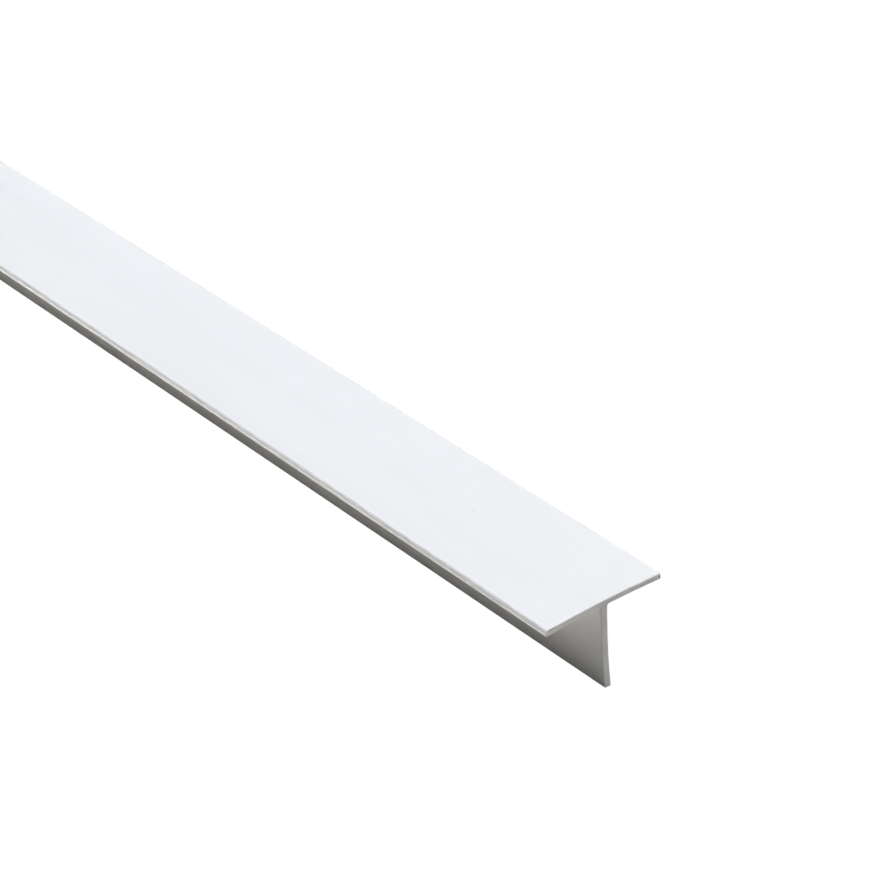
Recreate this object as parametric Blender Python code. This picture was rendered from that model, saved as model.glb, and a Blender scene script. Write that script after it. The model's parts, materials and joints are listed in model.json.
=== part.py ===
"""White rigid PVC tee profile: one metre of extruded stock, lying as it comes to rest.

The section is first drawn flat, with rounded free edges and a small fillet each side of the root.
It is then given the set that a thin extrusion keeps from cooling: the flange's two edges droop a
little towards the web, and the web drifts sideways towards its tip. The stock is that section run
straight along X between two square saw cuts, each with its sharp arris just taken off.

A loose tee can't stand on its web, so it lies on the lower edge of its flange and on the tip of
its web, with the flange's outer face turned up. The origin is on the floor, under the middle.
"""

import math

import bmesh
import bpy
from mathutils import Matrix, Vector
from mathutils.geometry import convex_hull_2d

# Stock and section sizes, in metres
LENGTH = 1.0
FLANGE_WIDTH = 0.025
TEE_HEIGHT = 0.018
FLANGE_THICKNESS = 0.0012
WEB_THICKNESS = 0.0014
OUTER_ARRIS_RADIUS = 0.0004
INNER_ARRIS_RADIUS = 0.00025
TIP_RADIUS = 0.0003
ROOT_RADIUS = 0.0004
CUT_ARRIS = 0.0001

# Set kept from cooling, in metres: each is the most that the section moves, at its free edges
FLANGE_DROOP = 0.00035
WEB_DRIFT = 0.0007
WEB_DRIFT_POWER = 2.5

# Fineness of the facets
ARC_STEPS = 4
RUN_FACET = 0.0016

# Finish: sRGB components of the white, and how the skin of the extrusion shines
WHITE = (0.93, 0.94, 0.95)
SKIN_ROUGHNESS = 0.35
PVC_IOR = 1.53


def clear_scene():
    for old in list(bpy.data.objects):
        bpy.data.objects.remove(old, do_unlink=True)


def to_linear(channel):
    """One sRGB component, from 0 to 1, as the linear value that a shader takes."""
    if channel <= 0.04045:
        return channel / 12.92
    return ((channel + 0.055) / 1.055) ** 2.4


def rigid_pvc():
    """Plain white rigid PVC with the soft gloss of an extruded skin."""
    material = bpy.data.materials.new("rigid_pvc_white")
    material.use_nodes = True
    shader = material.node_tree.nodes["Principled BSDF"]
    colour = (*(to_linear(channel) for channel in WHITE), 1.0)
    shader.inputs["Base Color"].default_value = colour
    shader.inputs["Roughness"].default_value = SKIN_ROUGHNESS
    shader.inputs["Metallic"].default_value = 0.0
    shader.inputs["IOR"].default_value = PVC_IOR
    material.diffuse_color = colour
    return material


def flat_corners():
    """The tee's eight corners and the radius on each, anticlockwise as seen from +X.

    The first value runs across the flange and the second up through it, from the middle of the
    flange's outer face.
    """
    flange_edge = FLANGE_WIDTH / 2
    web_side = WEB_THICKNESS / 2
    right = [
        (Vector((web_side, -TEE_HEIGHT)), TIP_RADIUS),
        (Vector((web_side, -FLANGE_THICKNESS)), ROOT_RADIUS),
        (Vector((flange_edge, -FLANGE_THICKNESS)), INNER_ARRIS_RADIUS),
        (Vector((flange_edge, 0.0)), OUTER_ARRIS_RADIUS),
    ]
    left = [(Vector((-corner.x, corner.y)), radius) for corner, radius in reversed(right)]
    return right + left


def corner_arc(before, corner, after, radius):
    """Points of the quarter round that takes a square corner from one side to the next."""
    back = (before - corner).normalized()
    ahead = (after - corner).normalized()
    centre = corner + radius * (back + ahead)
    turns = [math.pi / 2 * step / ARC_STEPS for step in range(ARC_STEPS + 1)]
    return [centre - radius * (math.cos(turn) * ahead + math.sin(turn) * back) for turn in turns]


def run_between(start, end):
    """Points inside a straight run, which cut it into an odd number of facets.

    An odd number leaves one facet lying square across the run's middle.
    """
    pairs = round(((end - start).length / RUN_FACET - 1) / 2)
    facets = 2 * max(pairs, 0) + 1
    return [start.lerp(end, step / facets) for step in range(1, facets)]


def flat_outline():
    """The whole outline of the flat section: eight rounded corners and the runs between them."""
    corners = flat_corners()
    count = len(corners)
    arcs = []
    for index, (corner, radius) in enumerate(corners):
        before = corners[index - 1][0]
        after = corners[(index + 1) % count][0]
        arcs.append(corner_arc(before, corner, after, radius))
    outline = []
    for index, arc in enumerate(arcs):
        following = arcs[(index + 1) % count]
        outline += arc + run_between(arc[-1], following[0])
    return outline


def settled(point):
    """Where a point of the flat section goes when the extrusion has cooled."""
    across = point.x / (FLANGE_WIDTH / 2)
    web_length = TEE_HEIGHT - FLANGE_THICKNESS
    down_web = max(-point.y - FLANGE_THICKNESS, 0.0) / web_length
    drift = WEB_DRIFT * down_web**WEB_DRIFT_POWER
    droop = FLANGE_DROOP * across**2
    return Vector((point.x + drift, point.y - droop))


def floor_side(section):
    """The two points that the tee rests on: the tip of its web, then the edge of its flange.

    They end the longest side of the section's hull on the right of the web.
    """
    hull = [section[index] for index in convex_hull_2d(section)]
    sides = [pair for pair in zip(hull, hull[1:] + hull[:1]) if pair[0].x + pair[1].x > 0]
    longest = max(sides, key=lambda pair: (pair[1] - pair[0]).length)
    return sorted(longest, key=lambda point: point.y)


def resting_place(section):
    """The turn about X, and the location, that lay the section on the floor with its box centred."""
    web_tip, flange_edge = floor_side(section)
    floor = flange_edge - web_tip
    lean = -math.atan2(floor.y, floor.x)
    turned = [Matrix.Rotation(lean, 2) @ point for point in section]
    across = [point.x for point in turned]
    heights = [point.y for point in turned]
    return lean, Vector((0.0, -(min(across) + max(across)) / 2, -min(heights)))


def stock_mesh(section):
    """The section run along X from one saw cut to the other, with the arris off both cuts."""
    shape = bmesh.new()
    start = [shape.verts.new((-LENGTH / 2, point.x, point.y)) for point in section]
    near_cut = shape.faces.new(start)
    grown = bmesh.ops.extrude_face_region(shape, geom=[near_cut], use_keep_orig=True)
    end = [item for item in grown["geom"] if isinstance(item, bmesh.types.BMVert)]
    bmesh.ops.translate(shape, verts=end, vec=(LENGTH, 0.0, 0.0))
    bmesh.ops.recalc_face_normals(shape, faces=shape.faces[:])
    cuts = [face for face in shape.faces if abs(face.normal.x) > 0.5]
    arrises = list({edge for face in cuts for edge in face.edges})
    bmesh.ops.bevel(shape, geom=arrises, offset=CUT_ARRIS, segments=1, affect="EDGES")
    mesh = bpy.data.meshes.new("tee_profile")
    shape.to_mesh(mesh)
    shape.free()
    return mesh


def tee_profile():
    """The one piece of stock, laid down as it comes to rest."""
    section = [settled(point) for point in flat_outline()]
    mesh = stock_mesh(section)
    mesh.materials.append(rigid_pvc())
    mesh.shade_smooth()
    mesh.set_sharp_from_angle(angle=math.radians(30))
    piece = bpy.data.objects.new("tee_profile", mesh)
    lean, place = resting_place(section)
    piece.rotation_euler.x = lean
    piece.location = place
    bpy.context.scene.collection.objects.link(piece)
    return piece


clear_scene()
tee_profile()
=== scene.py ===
"""White rigid PVC tee profile: a metre of extruded stock, lying on a pale floor in soft light.

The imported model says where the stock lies, how it leans and how long it is. This script gives it
the skin of the real thing: the same section with its arrises fully round, the faint lines that the
die draws along it, and two saw cuts with the blade's marks and a rubbed arris. All of that is
modelled in the tee's own axes: X along the stock, Y across its flange, Z out of the flange's face.
"""

import json
import math

import bmesh
import bpy
from mathutils import Matrix, Vector, noise


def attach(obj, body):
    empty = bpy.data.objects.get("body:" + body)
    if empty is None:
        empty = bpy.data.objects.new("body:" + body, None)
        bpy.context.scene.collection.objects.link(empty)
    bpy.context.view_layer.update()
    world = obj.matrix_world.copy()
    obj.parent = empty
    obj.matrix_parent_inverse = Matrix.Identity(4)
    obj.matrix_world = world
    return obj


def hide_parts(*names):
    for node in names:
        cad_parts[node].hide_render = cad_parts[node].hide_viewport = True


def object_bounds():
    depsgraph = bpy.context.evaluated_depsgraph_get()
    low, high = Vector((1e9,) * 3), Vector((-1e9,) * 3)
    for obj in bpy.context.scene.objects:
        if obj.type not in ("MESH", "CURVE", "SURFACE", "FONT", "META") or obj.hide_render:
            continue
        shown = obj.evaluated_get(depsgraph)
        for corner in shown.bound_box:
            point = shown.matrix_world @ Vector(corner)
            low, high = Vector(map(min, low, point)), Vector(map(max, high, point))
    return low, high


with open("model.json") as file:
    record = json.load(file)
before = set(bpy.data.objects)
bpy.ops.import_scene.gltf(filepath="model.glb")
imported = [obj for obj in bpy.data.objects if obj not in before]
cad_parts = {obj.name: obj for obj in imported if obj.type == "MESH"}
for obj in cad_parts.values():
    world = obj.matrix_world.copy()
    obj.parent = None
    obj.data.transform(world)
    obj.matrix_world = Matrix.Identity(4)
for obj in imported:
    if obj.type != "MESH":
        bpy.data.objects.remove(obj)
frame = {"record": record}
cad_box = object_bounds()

MM = 0.001

# Walls, roundings and cooling set of the section, in metres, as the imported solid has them. Only
# the left inner arris is sharper than there, as on the real one. The right one is what the stock
# rests on.
FLANGE_WIDTH = 25.0 * MM
TEE_HEIGHT = 18.0 * MM
FLANGE_THICKNESS = 1.2 * MM
WEB_THICKNESS = 1.4 * MM
OUTER_ARRIS_RADIUS = 0.4 * MM
RIGHT_INNER_ARRIS_RADIUS = 0.25 * MM
LEFT_INNER_ARRIS_RADIUS = 0.12 * MM
TIP_RADIUS = 0.3 * MM
ROOT_RADIUS = 0.4 * MM
FLANGE_DROOP = 0.35 * MM
WEB_DRIFT = 0.7 * MM
WEB_DRIFT_POWER = 2.5

# Fineness of the skin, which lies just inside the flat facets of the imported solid
SKIN_INSET = 0.008 * MM
ARC_STEPS = 12
RUN_FACET = 0.25 * MM
BODY_RINGS = 11
SHARP_ANGLE = math.radians(40)

# Material slot of the sawn ends, which comes after the skin's
SAWN_SLOT = 1

# Lines that the die draws along the skin: how deep they are and how far apart. Real ones lie some
# 0.2 mm apart, too fine to show, so they are drawn about three times as far apart.
DIE_LINE_DEPTH = 0.0015 * MM
DIE_LINE_PITCH = 0.6 * MM

# Arris of both saw cuts. It is as long along the stock, and as deep, as each pair says: on the
# flange's outer face and on the web's left side, where handling has rubbed it down, and everywhere
# else. Noise makes its size uneven by the share, in blotches of one size, and each cut has its own
# slice of that noise.
OUTER_FACE_ARRIS = (0.34 * MM, 0.14 * MM)
WEB_SIDE_ARRIS = (0.6 * MM, 0.2 * MM)
PLAIN_ARRIS = (0.1 * MM, 0.06 * MM)
ARRIS_STEPS = 5
ARRIS_UNEVENNESS = 0.6
ARRIS_BLOTCH = 0.9 * MM
ARRIS_NOISE_SLICE = 3.0

# Marks of the blade, straight across both ends, which are sliced into strips to take them. Noise
# shifts each mark and makes it deeper or shallower: its share of the depth, how far that swings,
# and how fast the noise changes from one mark to the next. A point nearer to a slice than the last
# length is on it.
SAW_MARK_PITCH = 0.42 * MM
SAW_MARK_DEPTH = 0.004 * MM
SAW_MARK_LEAN = math.radians(33)
SAW_MARK_SHARE = 0.7
SAW_MARK_UNEVENNESS = 0.6
SAW_NOISE_RATE = 0.37
SAW_NOISE_SLICE = 5.0
SAW_STRIPS_PER_MARK = 4
SAME_POINT = 1e-9

# Rigid PVC: how it bends light and how far light goes into it, then how rough its skin and its
# sawn ends are, how far that swings either way, and what a rub and the broken skin add
PVC_IOR = 1.53
SCATTER_DISTANCE = 0.6 * MM
SKIN_ROUGHNESS = 0.4
SKIN_ROUGHNESS_SWING = 0.03
SAWN_ROUGHNESS = 0.62
SAWN_ROUGHNESS_SWING = 0.06
RUB_ROUGHNESS = 0.12
FROST_ROUGHNESS = 0.25

# Colours of the skin and of the sawn ends, each followed by what its patterns lay over it
SKIN_WHITE = "#F0F0EE"
CLOUD_WHITE = "#EEEEEC"
DIE_STREAK_WHITE = "#EAEAE8"
RUB_WHITE = "#E8E8E5"
FROST_WHITE = "#F2F2EF"
# The scuffs' grey, which also darkens the flange's long edge bands as painted shade
EDGE_SCUFF_AND_SHADE_GREY = "#E0E0DD"
SPECK_GREY = "#C4C6C6"
SAWN_WHITE = "#EDEDEB"
SAWN_CLOUD_WHITE = "#EAEAE7"
SAW_MARK_WHITE = "#E2E2DF"
SAW_GRAIN_WHITE = "#F2F2F0"
# Painted shadow: the dark grey of the hairlines under burrs on the sawn end
BURR_SHADOW_GREY = "#5A5A58"

# Sizes of the patterns in millimetres, along the stock, across it and through it, and how much
# detail the plain ones and the fine ones have
CLOUD_SIZE = (45.0, 7.0, 7.0)
DIE_STREAK_SIZE = (260.0, 0.55, 0.55)
RIPPLE_SIZE = (1.6, 1.1, 1.1)
RUB_SIZE = (26.0, 0.7, 0.7)
EDGE_SCUFF_AND_SHADE_SIZE = (2.6, 0.3, 0.3)
SAWN_CLOUD_SIZE = (3.0, 3.0, 3.0)
SAW_GRAIN_SIZE = (0.3, 0.3, 0.3)
PLAIN_DETAIL = 2.0
FINE_DETAIL = 3.0

# How the patterns come in: the two values between which each fades, and its strength at either
CLOUD_FADE = (0.3, 0.7, 0.0, 1.0)
DIE_STREAK_FADE = (0.35, 0.75, 0.0, 0.35)
DIE_STREAK_GLOSS_FADE = (0.3, 0.7)
RUB_FADE = (0.62, 0.8, 0.0, 0.3)
RUB_GLOSS_FADE = (0.6, 0.8)
EDGE_SCUFF_AND_SHADE_FADE = (0.4, 0.62, 0.0, 1.0)
SAW_MARK_FADE = (-1.0, 1.0, 0.0, 0.4)
SAW_MARK_GLOSS_FADE = (-1.0, 1.0)
SAW_GRAIN_FADE = (0.35, 0.7, 0.0, 0.4)

# How deep the patterns are
RIPPLE_DEPTH = 0.0015 * MM
DIE_STREAK_DEPTH = 0.002 * MM
EDGE_SCUFF_DEPTH = 0.04 * MM
SAW_GRAIN_DEPTH = 0.006 * MM

# How far, in millimetres, the whitened skin reaches from a cut and the scuffs reach from a long
# edge, and how strong the whitening gets. The scuffs' darker grey is partly painted shade on the
# flange's long edge bands.
FROST_REACH = 0.35
EDGE_SCUFF_AND_SHADE_REACH = 0.5
FROST_STRENGTH = 0.8

# Single marks, in millimetres. A speck on the flange: its place from the near cut and the middle,
# its turn and its half size. Dark hairlines painted on the flange's sawn end as the shadow under
# burrs that the blade left: middle, turn and half size, across and up. Each fades out between two
# shares of its half size.
SPECK_PLACE = (-34.75, 1.15)
SPECK_TURN = math.radians(48)
SPECK_SIZE = (0.36, 0.1)
BURR_SHADOWS = (
    ((-11.35, -0.5), math.radians(4), (0.95, 0.09)),
    ((12.15, -0.95), math.radians(-3), (0.08, 0.42)),
)
MARK_FADE = (0.6, 1.2, 1.0, 0.0)

# Camera, in the tee's own axes from the middle of the sawn end's top edge
CAMERA_PLACE = Vector((307.36, -270.40, 286.84)) * MM
CAMERA_TARGET = Vector((-58.16, 11.41, 0.0)) * MM
CAMERA_ROLL = math.radians(-2.35)
CAMERA_LENS = 126.4
CAMERA_SENSOR = 36.0
CAMERA_NEAREST = 0.01
CAMERA_FARTHEST = 20.0

# The floor and the white sheet below it: half the width of each, in metres, and how far it lies
# below the stock
FLOOR_HALF = 3.0
FLOOR_DROP = 0.02 * MM
FLOOR_WHITE = "#E8E8E8"
FLOOR_CLOUD_WHITE = "#E5E5E5"
FLOOR_CLOUDS_PER_METRE = 6.0
FLOOR_ROUGHNESS = 0.9
SHEET_HALF = 80.0
SHEET_DROP = 0.05 * MM
SHEET_BRIGHTNESS = 1.01

# Low light box: how far from the stock it starts, its extent, where its middle is along the stock,
# how high it lies and how bright its face is
LIGHT_BOX_GAP = 0.11
LIGHT_BOX_LENGTH = 2.52
LIGHT_BOX_DEPTH = 1.2
LIGHT_BOX_MIDDLE = -0.74
LIGHT_BOX_HEIGHT = 0.1 * MM
LIGHT_BOX_RADIANCE = 13.0
LIGHT_BOX_COLOUR = "#FFFAF2"

# Two far lamps: where each shines from, how strong and how broad it is, in degrees, and its colour.
# The key's direction is in the tee's own axes, nearly square above the flange, and the fill's is in
# the world, low in front of the sawn end.
KEY_DIRECTION = Vector((0.0, -0.138, 0.990))
KEY_STRENGTH = 3.03
KEY_SPREAD = 25
KEY_COLOUR = "#F2F6FF"
FILL_DIRECTION = Vector((1.0, 0.9, 0.05))
FILL_STRENGTH = 0.55
FILL_SPREAD = 30
FILL_COLOUR = "#FFE8BB"


def linear(hex_colour):
    """An sRGB hex colour, such as "#F0F0EE", as the linear values that a shader takes."""
    channels = [int(hex_colour[start:start + 2], 16) / 255 for start in (1, 3, 5)]
    curve = [c / 12.92 if c <= 0.04045 else ((c + 0.055) / 1.055) ** 2.4 for c in channels]
    return (*curve, 1.0)


def add_node(tree, kind, settings=None, links=None):
    """Adds one node, with values for its sockets or properties, and links into its sockets."""
    node = tree.nodes.new(kind)
    for name, value in (settings or {}).items():
        if isinstance(name, int) or name in node.inputs:
            node.inputs[name].default_value = value
        else:
            setattr(node, name, value)
    for name, source in (links or {}).items():
        tree.links.new(source, node.inputs[name])
    return node


def fade(start, end, low=0.0, high=1.0):
    """Settings that take a value smoothly from low to high while it goes from start to end."""
    return {
        "interpolation_type": "SMOOTHSTEP",
        "From Min": start,
        "From Max": end,
        "To Min": low,
        "To Max": high,
    }


def tee_axes(record):
    """Matrix that takes the tee's own axes to the world, from the mount on the flange's face."""
    face = next(mount for mount in record["mounts"] if mount["name"] == "outer_face")
    along = Vector((1.0, 0.0, 0.0))
    outward = Vector(face["axis"]).normalized()
    across = outward.cross(along)
    turn = Matrix((along, across, outward)).transposed()
    return Matrix.Translation(face["pos_m"]) @ turn.to_4x4()


def half_corners(way, inner_arris_radius):
    """The four corners on one side of the web, from its tip up, each with its radius.

    The way is 1 for the right side and -1 for the left.
    """
    edge = way * FLANGE_WIDTH / 2
    side = way * WEB_THICKNESS / 2
    return [
        (Vector((side, -TEE_HEIGHT)), TIP_RADIUS),
        (Vector((side, -FLANGE_THICKNESS)), ROOT_RADIUS),
        (Vector((edge, -FLANGE_THICKNESS)), inner_arris_radius),
        (Vector((edge, 0.0)), OUTER_ARRIS_RADIUS),
    ]


def flat_corners():
    """The eight corners of the flat section and their radii, anticlockwise seen from +X."""
    right = half_corners(1, RIGHT_INNER_ARRIS_RADIUS)
    left = half_corners(-1, LEFT_INNER_ARRIS_RADIUS)
    return right + left[::-1]


def corner_arc(before, corner, after, radius):
    """Points of the quarter round that takes a square corner from one side to the next."""
    back = (before - corner).normalized()
    ahead = (after - corner).normalized()
    centre = corner + radius * (back + ahead)
    turns = [math.pi / 2 * step / ARC_STEPS for step in range(ARC_STEPS + 1)]
    return [centre - radius * (math.cos(turn) * ahead + math.sin(turn) * back) for turn in turns]


def settled(point):
    """Where a point of the flat section goes when the extrusion has cooled."""
    across = point.x / (FLANGE_WIDTH / 2)
    down_web = max(-point.y - FLANGE_THICKNESS, 0.0) / (TEE_HEIGHT - FLANGE_THICKNESS)
    drift = WEB_DRIFT * down_web**WEB_DRIFT_POWER
    droop = FLANGE_DROOP * across**2
    return Vector((point.x + drift, point.y - droop))


def section_outline():
    """The settled section as closely spaced points, all the way round."""
    corners = flat_corners()
    arcs = []
    for index, (corner, radius) in enumerate(corners):
        before = corners[index - 1][0]
        after = corners[(index + 1) % len(corners)][0]
        arcs.append(corner_arc(before, corner, after, radius))
    outline = []
    for index, arc in enumerate(arcs):
        start, end = arc[-1], arcs[(index + 1) % len(arcs)][0]
        facets = max(round((end - start).length / RUN_FACET), 1)
        outline += arc + [start.lerp(end, step / facets) for step in range(1, facets)]
    return [settled(point) for point in outline]


def outward_normals(outline):
    """The direction out of the material at each point of an anticlockwise outline."""
    count = len(outline)
    normals = []
    for index in range(count):
        tangent = outline[(index + 1) % count] - outline[index - 1]
        normals.append(Vector((tangent.y, -tangent.x)).normalized())
    return normals


def die_drawn(outline, normals):
    """The outline with the die's fine lines cut into it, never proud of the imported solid."""
    drawn = []
    for point, normal in zip(outline, normals):
        place = Vector((point.x, point.y, 0.0)) / DIE_LINE_PITCH
        depth = SKIN_INSET + DIE_LINE_DEPTH * (0.5 + 0.5 * noise.noise(place))
        drawn.append(point - normal * depth)
    return drawn


def ring_plan(length):
    """Where each ring of the skin lies along X, and its share of the arris there, end to end.

    The share is a pair: how far back from the cut, and how far in, as parts of the whole arris.
    """
    half = length / 2
    arris = []
    for step in range(ARRIS_STEPS + 1):
        turn = math.pi / 2 * step / ARRIS_STEPS
        arris.append((1 - math.cos(turn), 1 - math.sin(turn)))
    near = [(half, back, inward) for back, inward in arris]
    body = [(half - length * step / BODY_RINGS, 0.0, 0.0) for step in range(1, BODY_RINGS)]
    far = [(-half, back, inward) for back, inward in reversed(arris)]
    return near + body + far


def arris_size(x, point, normal):
    """How long and how deep the arris is at a point of the outline, on the cut that X is near."""
    outer_face = max(normal.y, 0.0) ** 2
    web_side = max(-normal.x, 0.0) ** 2 if abs(point.x) < WEB_THICKNESS else 0.0
    noise_slice = math.copysign(ARRIS_NOISE_SLICE, x)
    place = Vector((noise_slice, point.x / ARRIS_BLOTCH, point.y / ARRIS_BLOTCH))
    uneven = 1 + ARRIS_UNEVENNESS * noise.noise(place)
    sizes = zip(PLAIN_ARRIS, OUTER_FACE_ARRIS, WEB_SIDE_ARRIS)
    return [
        uneven * (plain + (outer - plain) * outer_face + (web - plain) * web_side)
        for plain, outer, web in sizes
    ]


def skin_shape(length):
    """The stock as a closed shape: rings along it, joined by faces, and a flat cap on each end."""
    outline = section_outline()
    normals = outward_normals(outline)
    outline = die_drawn(outline, normals)
    shape = bmesh.new()
    rings = []
    for x, back, inward in ring_plan(length):
        ring = []
        for point, normal in zip(outline, normals):
            arris_length, arris_depth = arris_size(x, point, normal)
            place = point - normal * arris_depth * inward
            spot = (x - math.copysign(arris_length * back, x), place.x, place.y)
            ring.append(shape.verts.new(spot))
        rings.append(ring)
    count = len(outline)
    for near, far in zip(rings, rings[1:]):
        for index in range(count):
            follow = (index + 1) % count
            shape.faces.new((near[index], near[follow], far[follow], far[index]))
    for ring in (rings[0], rings[-1]):
        cap = shape.faces.new(ring)
        cap.material_index = SAWN_SLOT
    bmesh.ops.recalc_face_normals(shape, faces=shape.faces[:])
    return shape


def slice_caps(shape, across_marks):
    """Slices both caps into narrow strips along the blade's marks, square to the given direction."""
    caps = [face for face in shape.faces if face.material_index == SAWN_SLOT]
    caps = bmesh.ops.triangulate(shape, faces=caps)["faces"]
    parts = list(dict.fromkeys(part for face in caps for part in (face, *face.edges, *face.verts)))
    travels = [point.co.dot(across_marks) for face in caps for point in face.verts]
    strip = SAW_MARK_PITCH / SAW_STRIPS_PER_MARK
    for step in range(math.ceil(min(travels) / strip), math.ceil(max(travels) / strip)):
        spot = across_marks * (step * strip)
        cut = bmesh.ops.bisect_plane(
            shape, geom=parts, dist=SAME_POINT, plane_co=spot, plane_no=across_marks
        )
        parts = cut["geom"]


def cut_saw_marks(shape, length):
    """Scores both caps with the blade's marks: straight, shallow and slightly uneven.

    Each point of the sliced caps is pushed in by the depth of the mark that it is in.
    """
    across_marks = Vector((0.0, math.cos(SAW_MARK_LEAN), -math.sin(SAW_MARK_LEAN)))
    slice_caps(shape, across_marks)
    caps = [face for face in shape.faces if face.material_index == SAWN_SLOT]
    for point in {point for face in caps for point in face.verts}:
        travel = point.co.dot(across_marks) / SAW_MARK_PITCH
        place = Vector((travel * SAW_NOISE_RATE, point.co.x / length, SAW_NOISE_SLICE))
        uneven = noise.noise(place)
        wave = 0.5 + 0.5 * math.sin(math.tau * (travel + uneven))
        depth = SAW_MARK_DEPTH * wave * (SAW_MARK_SHARE + SAW_MARK_UNEVENNESS * uneven)
        point.co.x -= math.copysign(depth, point.co.x)


def new_finish(name, roughness):
    """An empty PVC material, with the values that are the same all over it on its shader.

    Light goes a little way into the white plastic before it comes back out, which softens the
    shading at every arris.
    """
    material = bpy.data.materials.new(name)
    material.use_nodes = True
    shader = material.node_tree.nodes["Principled BSDF"]
    shader.inputs["IOR"].default_value = PVC_IOR
    shader.inputs["Roughness"].default_value = roughness
    shader.inputs["Subsurface Weight"].default_value = 1.0
    shader.inputs["Subsurface Radius"].default_value = (1.0, 1.0, 1.0)
    shader.inputs["Subsurface Scale"].default_value = SCATTER_DISTANCE
    return material, material.node_tree, shader


def tee_place(tree, axes):
    """Texture coordinates in the tee's own axes, in millimetres from its middle."""
    shift, turn, size = axes.inverted().decompose()
    world = add_node(tree, "ShaderNodeTexCoord").outputs["Object"]
    settings = {"Location": shift / MM, "Rotation": turn.to_euler(), "Scale": size / MM}
    return add_node(tree, "ShaderNodeMapping", settings, {"Vector": world}).outputs[0]


def blotches(tree, place, size, detail=PLAIN_DETAIL):
    """A pattern around 0.5, with blotches of the given size in millimetres in the tee's axes."""
    scaled = add_node(tree, "ShaderNodeVectorMath", {"operation": "DIVIDE", 1: size}, {0: place})
    settings = {"Scale": 1.0, "Detail": detail}
    return add_node(tree, "ShaderNodeTexNoise", settings, {"Vector": scaled.outputs[0]}).outputs[0]


def layered(tree, base, layers):
    """A base colour with others laid over it in turn, each by its own mask. All are hex values.

    A mix of colours takes the one below at socket 6, and the one above at socket 7.
    """
    links = {}
    for mask, hex_colour in layers:
        settings = {"data_type": "RGBA", 6: linear(base), 7: linear(hex_colour)}
        links[0] = mask
        links[6] = add_node(tree, "ShaderNodeMix", settings, links).outputs[2]
    return links[6]


def sawn_frost(tree, place, half_length):
    """Mask of the skin right beside a cut, where the teeth have broken and whitened it."""
    parts = add_node(tree, "ShaderNodeSeparateXYZ", links={0: place})
    along = add_node(tree, "ShaderNodeMath", {"operation": "ABSOLUTE"}, {0: parts.outputs[0]})
    ragged = blotches(tree, place, SAW_GRAIN_SIZE)
    settings = {"operation": "MULTIPLY_ADD", 1: FROST_REACH}
    reach = add_node(tree, "ShaderNodeMath", settings, {0: ragged, 2: along.outputs[0]})
    edge = half_length + FROST_REACH / 2
    settings = fade(edge - FROST_REACH, edge, high=FROST_STRENGTH)
    return add_node(tree, "ShaderNodeMapRange", settings, {"Value": reach.outputs[0]}).outputs[0]


def edge_scuffs_and_shade(tree, place):
    """Mask of the scuffs on the flange's two long edges: short dashes along the stock. Their grey is
    also painted shade, darkening the flange's long edge bands.
    """
    parts = add_node(tree, "ShaderNodeSeparateXYZ", links={0: place})
    across = add_node(tree, "ShaderNodeMath", {"operation": "ABSOLUTE"}, {0: parts.outputs[1]})
    edge = FLANGE_WIDTH / 2 / MM
    settings = fade(edge - EDGE_SCUFF_AND_SHADE_REACH, edge - EDGE_SCUFF_AND_SHADE_REACH / 2)
    at_edge = add_node(tree, "ShaderNodeMapRange", settings, {"Value": across.outputs[0]})
    ragged = blotches(tree, place, EDGE_SCUFF_AND_SHADE_SIZE, FINE_DETAIL)
    dashes = add_node(tree, "ShaderNodeMapRange", fade(*EDGE_SCUFF_AND_SHADE_FADE), {"Value": ragged})
    links = {0: at_edge.outputs[0], 1: dashes.outputs[0]}
    return add_node(tree, "ShaderNodeMath", {"operation": "MULTIPLY"}, links).outputs[0]


def single_mark(tree, place, middle, turn, size):
    """Mask of one short mark, soft at its rim: where its middle is, its turn and its half sizes."""
    settings = {"vector_type": "TEXTURE", "Location": middle, "Rotation": turn, "Scale": size}
    within = add_node(tree, "ShaderNodeMapping", settings, {"Vector": place})
    distance = add_node(tree, "ShaderNodeVectorMath", {"operation": "LENGTH"}, {0: within.outputs[0]})
    links = {"Value": distance.outputs["Value"]}
    return add_node(tree, "ShaderNodeMapRange", fade(*MARK_FADE), links).outputs[0]


def speck_mark(tree, place, half_length):
    """Mask of the one faint speck on the flange's outer face."""
    along, across = SPECK_PLACE
    middle = (half_length + along, across, 0.0)
    return single_mark(tree, place, middle, (0.0, 0.0, SPECK_TURN), (*SPECK_SIZE, 1.0))


def saw_scores(tree, place, wander):
    """A wave from -1 to 1 across the blade's marks, which a broad pattern makes wander."""
    across_marks = (0.0, math.cos(SAW_MARK_LEAN), -math.sin(SAW_MARK_LEAN))
    settings = {"operation": "DOT_PRODUCT", 1: across_marks}
    travel = add_node(tree, "ShaderNodeVectorMath", settings, {0: place})
    settings = {"operation": "MULTIPLY_ADD", 1: math.tau / (SAW_MARK_PITCH / MM)}
    turns = add_node(tree, "ShaderNodeMath", settings, {0: travel.outputs["Value"], 2: wander})
    return add_node(tree, "ShaderNodeMath", {"operation": "SINE"}, {0: turns.outputs[0]}).outputs[0]


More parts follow.
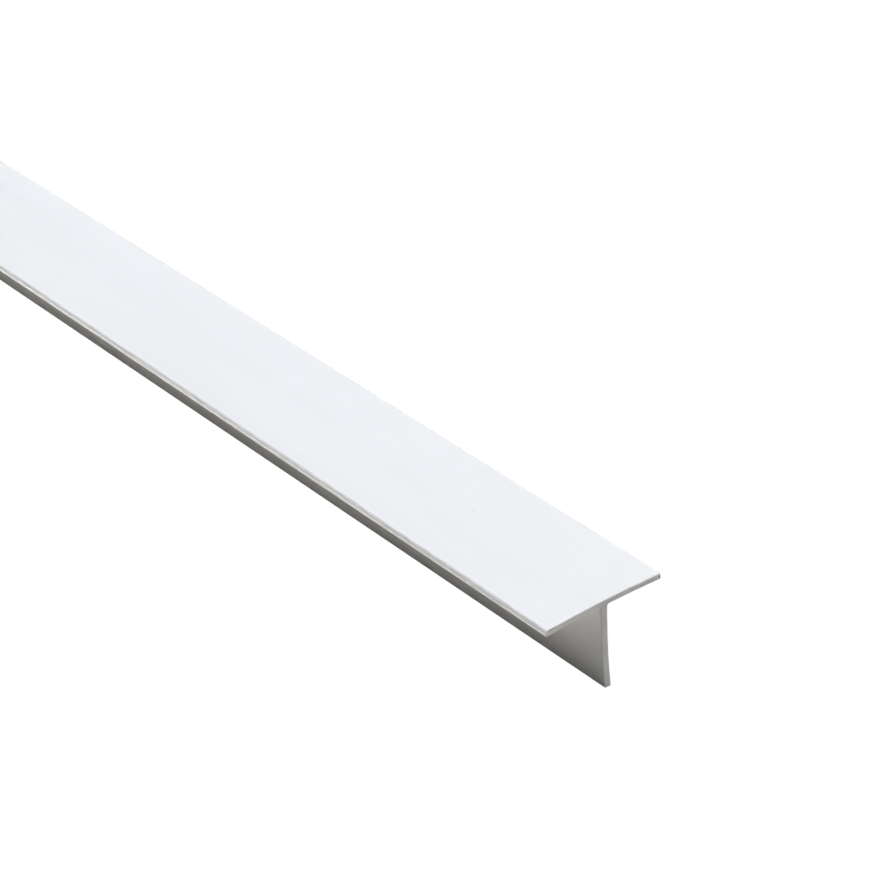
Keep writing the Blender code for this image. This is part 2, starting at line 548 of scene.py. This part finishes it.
def extruded_rigid_pvc(axes, half_length):
    """Rigid PVC as the die leaves it: an opaque, nearly neutral white with an even satin gloss.

    Faint streaks and lines run the whole length, the way it was drawn. Broad clouds of barely
    darker white, a fine ripple, a few soft rubs, scuffs on the flange's long edges, one speck and
    the whitened skin beside the cuts break it up. The scuffs' grey is also painted shade on the
    flange's long edge bands.
    """
    material, tree, shader = new_finish("rigid_pvc_extruded_skin", SKIN_ROUGHNESS)
    place = tee_place(tree, axes)
    clouds = blotches(tree, place, CLOUD_SIZE)
    streaks = blotches(tree, place, DIE_STREAK_SIZE, FINE_DETAIL)
    rubs = blotches(tree, place, RUB_SIZE)
    ripple = blotches(tree, place, RIPPLE_SIZE)
    frost = sawn_frost(tree, place, half_length)
    scuffs_and_shade = edge_scuffs_and_shade(tree, place)

    clouded = add_node(tree, "ShaderNodeMapRange", fade(*CLOUD_FADE), {"Value": clouds})
    streaked = add_node(tree, "ShaderNodeMapRange", fade(*DIE_STREAK_FADE), {"Value": streaks})
    rubbed = add_node(tree, "ShaderNodeMapRange", fade(*RUB_FADE), {"Value": rubs})
    layers = (
        (clouded.outputs[0], CLOUD_WHITE),
        (streaked.outputs[0], DIE_STREAK_WHITE),
        (rubbed.outputs[0], RUB_WHITE),
        (frost, FROST_WHITE),
        # Scuffs along the flange's long edges, whose darker grey is partly painted shade on the edge
        # bands
        (scuffs_and_shade, EDGE_SCUFF_AND_SHADE_GREY),
        (speck_mark(tree, place, half_length), SPECK_GREY),
    )
    tree.links.new(layered(tree, SKIN_WHITE, layers), shader.inputs["Base Color"])

    smoothest = SKIN_ROUGHNESS - SKIN_ROUGHNESS_SWING
    roughest = SKIN_ROUGHNESS + SKIN_ROUGHNESS_SWING
    settings = fade(*DIE_STREAK_GLOSS_FADE, smoothest, roughest)
    satin = add_node(tree, "ShaderNodeMapRange", settings, {"Value": streaks})
    settings = fade(*RUB_GLOSS_FADE, 0.0, RUB_ROUGHNESS)
    dulled = add_node(tree, "ShaderNodeMapRange", settings, {"Value": rubs})
    links = {0: satin.outputs[0], 1: dulled.outputs[0]}
    handled = add_node(tree, "ShaderNodeMath", {"operation": "ADD"}, links)
    settings = {"operation": "MULTIPLY_ADD", 1: FROST_ROUGHNESS}
    torn = add_node(tree, "ShaderNodeMath", settings, {0: frost, 2: handled.outputs[0]})
    tree.links.new(torn.outputs[0], shader.inputs["Roughness"])

    rippled = add_node(tree, "ShaderNodeBump", {"Distance": RIPPLE_DEPTH}, {"Height": ripple})
    links = {"Height": streaks, "Normal": rippled.outputs[0]}
    lined = add_node(tree, "ShaderNodeBump", {"Distance": DIE_STREAK_DEPTH}, links)
    links = {"Height": scuffs_and_shade, "Normal": lined.outputs[0]}
    dented = add_node(tree, "ShaderNodeBump", {"Distance": EDGE_SCUFF_DEPTH}, links)
    tree.links.new(dented.outputs[0], shader.inputs["Normal"])
    return material


def sawn_rigid_pvc(axes, half_length):
    """Rigid PVC where the saw went through: the same white torn matt, so it shades softly.

    The blade's scores cross it as straight, slightly uneven bands, with a fine grain between them.
    Two dark hairlines at the flange's tips are painted shadow under burrs. The real grain is near
    0.05 mm, too fine to show, so it is drawn about six times as coarse.
    """
    material, tree, shader = new_finish("rigid_pvc_sawn_end", SAWN_ROUGHNESS)
    place = tee_place(tree, axes)
    clouds = blotches(tree, place, SAWN_CLOUD_SIZE)
    grain = blotches(tree, place, SAW_GRAIN_SIZE)
    scores = saw_scores(tree, place, clouds)

    clouded = add_node(tree, "ShaderNodeMapRange", fade(*CLOUD_FADE), {"Value": clouds})
    scored = add_node(tree, "ShaderNodeMapRange", fade(*SAW_MARK_FADE), {"Value": scores})
    grained = add_node(tree, "ShaderNodeMapRange", fade(*SAW_GRAIN_FADE), {"Value": grain})
    layers = [
        (clouded.outputs[0], SAWN_CLOUD_WHITE),
        (scored.outputs[0], SAW_MARK_WHITE),
        (grained.outputs[0], SAW_GRAIN_WHITE),
    ]
    # Painted shadow: dark hairlines under burrs at the flange's sawn tips
    for (across, up), turn, size in BURR_SHADOWS:
        middle = (half_length, across, up)
        burr_shadow = single_mark(tree, place, middle, (turn, 0.0, 0.0), (1.0, *size))
        layers.append((burr_shadow, BURR_SHADOW_GREY))
    tree.links.new(layered(tree, SAWN_WHITE, layers), shader.inputs["Base Color"])

    smoothest = SAWN_ROUGHNESS - SAWN_ROUGHNESS_SWING
    roughest = SAWN_ROUGHNESS + SAWN_ROUGHNESS_SWING
    settings = fade(*SAW_MARK_GLOSS_FADE, smoothest, roughest)
    matt = add_node(tree, "ShaderNodeMapRange", settings, {"Value": scores})
    tree.links.new(matt.outputs[0], shader.inputs["Roughness"])

    torn = add_node(tree, "ShaderNodeBump", {"Distance": SAW_GRAIN_DEPTH}, {"Height": grain})
    links = {"Height": scores, "Normal": torn.outputs[0]}
    scratched = add_node(tree, "ShaderNodeBump", {"Distance": SAW_MARK_DEPTH}, links)
    tree.links.new(scratched.outputs[0], shader.inputs["Normal"])
    return material


def tee_stock(axes):
    """The one piece of stock, with its skin and its two sawn ends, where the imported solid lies."""
    length = cad_box[1].x - cad_box[0].x
    shape = skin_shape(length)
    cut_saw_marks(shape, length)
    mesh = bpy.data.meshes.new("tee_stock")
    shape.to_mesh(mesh)
    shape.free()
    mesh.transform(axes)
    mesh.materials.append(extruded_rigid_pvc(axes, length / 2 / MM))
    mesh.materials.append(sawn_rigid_pvc(axes, length / 2 / MM))
    mesh.shade_smooth()
    mesh.set_sharp_from_angle(angle=SHARP_ANGLE)
    piece = bpy.data.objects.new("tee_stock", mesh)
    bpy.context.scene.collection.objects.link(piece)
    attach(piece, "root")
    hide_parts("tee_profile")


def stage_sheet(name, half, drop, material):
    """A wide level sheet a little below the stock."""
    mesh = bpy.data.meshes.new(name)
    corners = [(-half, -half, 0.0), (half, -half, 0.0), (half, half, 0.0), (-half, half, 0.0)]
    mesh.from_pydata(corners, [], [(0, 1, 2, 3)])
    mesh.materials.append(material)
    sheet = bpy.data.objects.new(name, mesh)
    sheet.location.z = -drop
    bpy.context.scene.collection.objects.link(sheet)
    return sheet


def matt_painted_board():
    """Board painted matt: a pale, almost even grey with broad clouds that are barely darker."""
    material = bpy.data.materials.new("matt_painted_floor")
    material.use_nodes = True
    tree = material.node_tree
    shader = tree.nodes["Principled BSDF"]
    place = add_node(tree, "ShaderNodeTexCoord").outputs["Object"]
    settings = {"Scale": FLOOR_CLOUDS_PER_METRE}
    clouds = add_node(tree, "ShaderNodeTexNoise", settings, {"Vector": place}).outputs[0]
    clouded = add_node(tree, "ShaderNodeMapRange", fade(*CLOUD_FADE), {"Value": clouds})
    layers = [(clouded.outputs[0], FLOOR_CLOUD_WHITE)]
    tree.links.new(layered(tree, FLOOR_WHITE, layers), shader.inputs["Base Color"])
    shader.inputs["Roughness"].default_value = FLOOR_ROUGHNESS
    return material


def studio_floor():
    """The pale floor that the stock lies on. It takes the shadows and sends soft light back up.

    The camera looks through it to the white sheet just below.
    """
    floor = stage_sheet("studio_floor", FLOOR_HALF, FLOOR_DROP, matt_painted_board())
    floor.visible_camera = False


def lit_white_sheet():
    """White film lit evenly from behind: it glows in one plain white and has no gloss."""
    material = bpy.data.materials.new("lit_white_sheet")
    material.use_nodes = True
    shader = material.node_tree.nodes["Principled BSDF"]
    shader.inputs["Base Color"].default_value = linear("#000000")
    shader.inputs["Specular IOR Level"].default_value = 0.0
    shader.inputs["Emission Color"].default_value = linear("#FFFFFF")
    shader.inputs["Emission Strength"].default_value = SHEET_BRIGHTNESS
    return material


def white_sheet():
    """The plain white behind the stock. Only the camera sees it, so it lights nothing."""
    sheet = stage_sheet("white_sheet", SHEET_HALF, SHEET_DROP, lit_white_sheet())
    sheet.visible_diffuse = False
    sheet.visible_glossy = False
    sheet.visible_transmission = False
    sheet.visible_shadow = False


def low_light_box():
    """A long light box that lies face up along the floor on the web's side, out of the picture.

    Its light comes in almost level. It fills the flange's underside and the root of the web, and
    leaves the web's tip dimmer.
    """
    data = bpy.data.lights.new("low_light_box", "AREA")
    data.shape = "RECTANGLE"
    data.size = LIGHT_BOX_LENGTH
    data.size_y = LIGHT_BOX_DEPTH
    data.color = linear(LIGHT_BOX_COLOUR)[:3]
    data.energy = LIGHT_BOX_RADIANCE * math.pi * LIGHT_BOX_LENGTH * LIGHT_BOX_DEPTH
    box = bpy.data.objects.new("low_light_box", data)
    box.rotation_euler.x = math.pi
    box.location = (LIGHT_BOX_MIDDLE, -LIGHT_BOX_GAP - LIGHT_BOX_DEPTH / 2, LIGHT_BOX_HEIGHT)
    box.visible_camera = False
    bpy.context.scene.collection.objects.link(box)


def camera(axes):
    """The photograph's viewpoint: past the sawn end, left of the tee and above its flange."""
    end_axes = axes @ Matrix.Translation((cad_box[1].x, 0.0, 0.0))
    looking = (CAMERA_TARGET - CAMERA_PLACE).to_track_quat("-Z", "Y").to_matrix().to_4x4()
    roll = Matrix.Rotation(CAMERA_ROLL, 4, "Z")
    data = bpy.data.cameras.new("camera")
    data.lens = CAMERA_LENS
    data.sensor_width = CAMERA_SENSOR
    data.clip_start = CAMERA_NEAREST
    data.clip_end = CAMERA_FARTHEST
    eye = bpy.data.objects.new("camera", data)
    bpy.context.scene.collection.objects.link(eye)
    eye.matrix_world = end_axes @ Matrix.Translation(CAMERA_PLACE) @ looking @ roll
    bpy.context.scene.camera = eye


def far_lamp(name, direction, strength, spread, hex_colour):
    """A far, broad lamp that shines from a direction given in the world."""
    data = bpy.data.lights.new(name, "SUN")
    data.energy = strength
    data.angle = math.radians(spread)
    data.color = linear(hex_colour)[:3]
    lamp = bpy.data.objects.new(name, data)
    lamp.rotation_euler = direction.to_track_quat("Z", "Y").to_euler()
    bpy.context.scene.collection.objects.link(lamp)


axes = tee_axes(frame["record"])
tee_stock(axes)
studio_floor()
white_sheet()
camera(axes)
far_lamp("key", axes.to_3x3() @ KEY_DIRECTION, KEY_STRENGTH, KEY_SPREAD, KEY_COLOUR)
far_lamp("fill", FILL_DIRECTION, FILL_STRENGTH, FILL_SPREAD, FILL_COLOUR)
low_light_box()
bpy.context.scene.view_settings.view_transform = "Standard"
